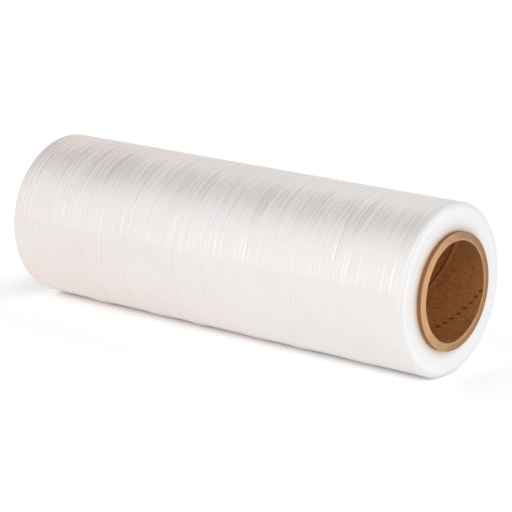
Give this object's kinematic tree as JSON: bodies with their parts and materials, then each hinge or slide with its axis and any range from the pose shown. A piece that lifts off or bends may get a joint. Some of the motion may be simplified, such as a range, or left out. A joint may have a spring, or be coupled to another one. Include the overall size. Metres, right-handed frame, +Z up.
{
  "type": "stretch wrap roll",
  "caption": "Roll of clear stretch film wound on a spiral cardboard core, lying on its side.",
  "frame": {"origin": "on the surface that the roll lies on, under the middle of its length and width", "axes": "+X along the roll's axis, +Z up"},
  "size_m": [0.39, 0.131, 0.1305],
  "materials": {
    "kraft_board": "matte kraft paper",
    "clear_film": "glossy, many layers of clear film that look milky white"
  },
  "bodies": {
    "root": {"cardboard_core": "kraft_board", "film_roll": "clear_film"}
  },
  "joints": []
}
